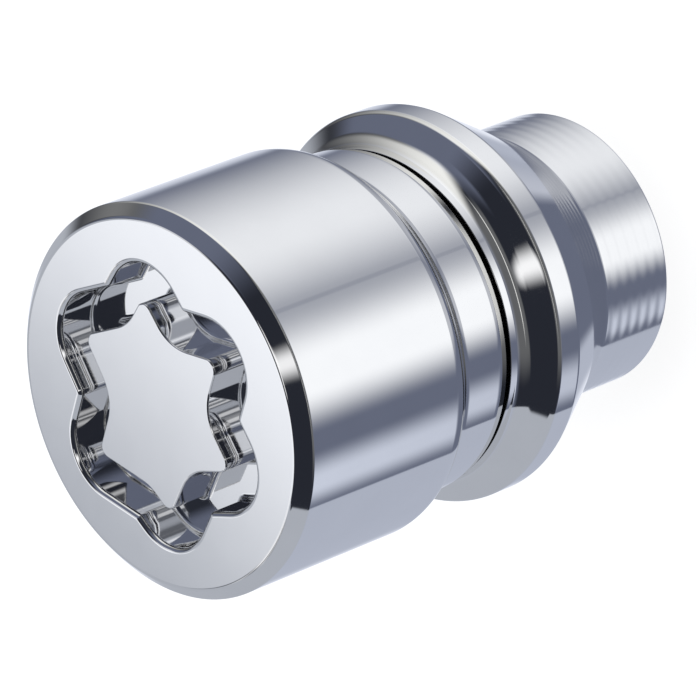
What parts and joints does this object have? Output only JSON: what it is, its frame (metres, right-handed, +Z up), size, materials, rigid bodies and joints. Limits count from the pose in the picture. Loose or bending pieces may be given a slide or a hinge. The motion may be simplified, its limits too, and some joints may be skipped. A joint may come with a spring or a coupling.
{
  "type": "locking wheel nut",
  "caption": "One-piece chromed locking wheel nut: round head with a wavy coded key groove, stepped collar with a relief groove behind it, conical-seat flange and short shank with a blind thread.",
  "frame": {"origin": "centre of the shank's end face, on the nut's axis; the nut stands on this face", "axes": "+Z up the nut's axis from the shank to the key face; +X through the middle of a lobe of the key groove"},
  "size_m": [0.0222, 0.0222, 0.0313],
  "materials": {
    "chrome": "bright chrome plate over turned steel"
  },
  "bodies": {
    "root": {"wheel_nut": "chrome"}
  },
  "joints": []
}
